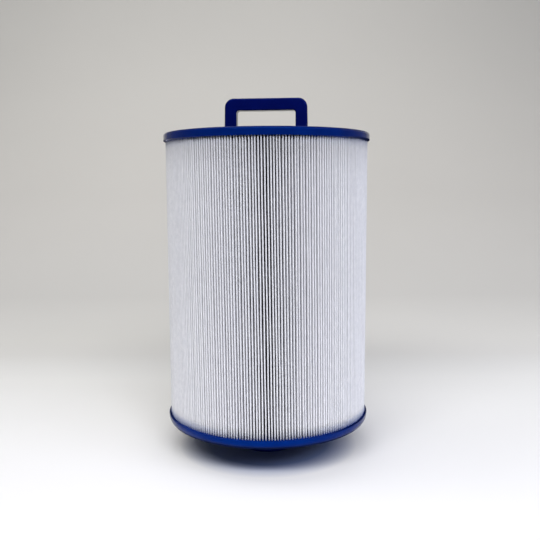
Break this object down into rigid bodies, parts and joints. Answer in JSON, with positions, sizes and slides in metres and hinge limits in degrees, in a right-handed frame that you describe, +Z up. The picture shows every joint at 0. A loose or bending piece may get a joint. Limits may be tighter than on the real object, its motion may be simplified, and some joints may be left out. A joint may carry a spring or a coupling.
{
  "type": "pleated spa filter cartridge",
  "caption": "Pleated cylinder cartridge with round cast end caps, a carrying loop on top and a male threaded outlet below.",
  "frame": {"origin": "centre of the outlet's mouth, on the cartridge's axis, where the cartridge rests when it stands on its own", "axes": "+Z up the cartridge's axis from the outlet to the handle, +X along the handle's grip, +Y through the loop"},
  "size_m": [0.1524, 0.1524, 0.2638],
  "materials": {
    "cast_polyurethane": "gloss",
    "moulded_fittings": "gloss",
    "filter_cloth": "matte",
    "seam_adhesive": "satin",
    "core_plastic": "satin"
  },
  "bodies": {
    "root": {"top_end_cap": "cast_polyurethane", "bottom_end_cap": "cast_polyurethane", "handle": "moulded_fittings", "threaded_nipple": "moulded_fittings", "flange_plate": "moulded_fittings", "pleated_media": "filter_cloth", "media_seam": "seam_adhesive", "core_section_lower": "core_plastic", "core_section_upper": "core_plastic", "core_plug": "core_plastic"}
  },
  "joints": []
}
